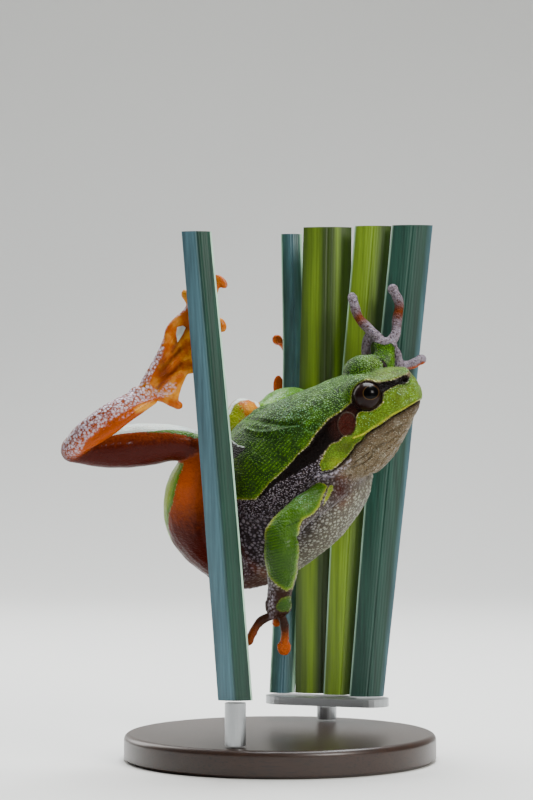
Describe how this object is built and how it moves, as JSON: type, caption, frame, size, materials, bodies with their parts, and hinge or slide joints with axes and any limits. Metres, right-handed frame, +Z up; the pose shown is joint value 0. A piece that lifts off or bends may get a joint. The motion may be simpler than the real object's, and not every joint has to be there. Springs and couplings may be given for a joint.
{
  "type": "european tree frog display model",
  "caption": "Life-size still model of a european tree frog climbing between cut reed blades, on a round display stand.",
  "frame": {"origin": "middle of the stand base's underside", "axes": "+Z up along the reed blades, -Y towards the viewer of the frog's right side, +X the way the head points"},
  "size_m": [0.0551, 0.0518, 0.0796],
  "materials": {
    "frog_green": "moist, fine granular skin, semi-gloss",
    "frog_orange": "moist, granular skin with translucent webs, semi-gloss",
    "frog_eye": "polished",
    "reed_green": "satin leaf with parallel veins",
    "stand_wood": "dark, oiled",
    "stand_steel": "brushed"
  },
  "bodies": {
    "root": {"head": "frog_green", "torso": "frog_green", "upper_arm_right": "frog_green", "forearm_right": "frog_green", "hand_right": "frog_green", "upper_arm_left": "frog_green", "forearm_left": "frog_green", "hand_left": "frog_green", "thigh_right": "frog_orange", "shank_right": "frog_orange", "tarsus_right": "frog_orange", "foot_right": "frog_orange", "thigh_left": "frog_orange", "shank_left": "frog_orange", "tarsus_left": "frog_orange", "foot_left": "frog_orange", "eye_left": "frog_eye", "eye_right": "frog_eye", "reed_leaf_front": "reed_green", "reed_leaf_back_left": "reed_green", "reed_leaf_back_wide": "reed_green", "reed_leaf_back_middle": "reed_green", "reed_leaf_back_right": "reed_green", "stand_base": "stand_wood", "stand_rod_front": "stand_steel", "stand_rod_back": "stand_steel", "stand_shoe_back": "stand_steel"}
  },
  "joints": []
}
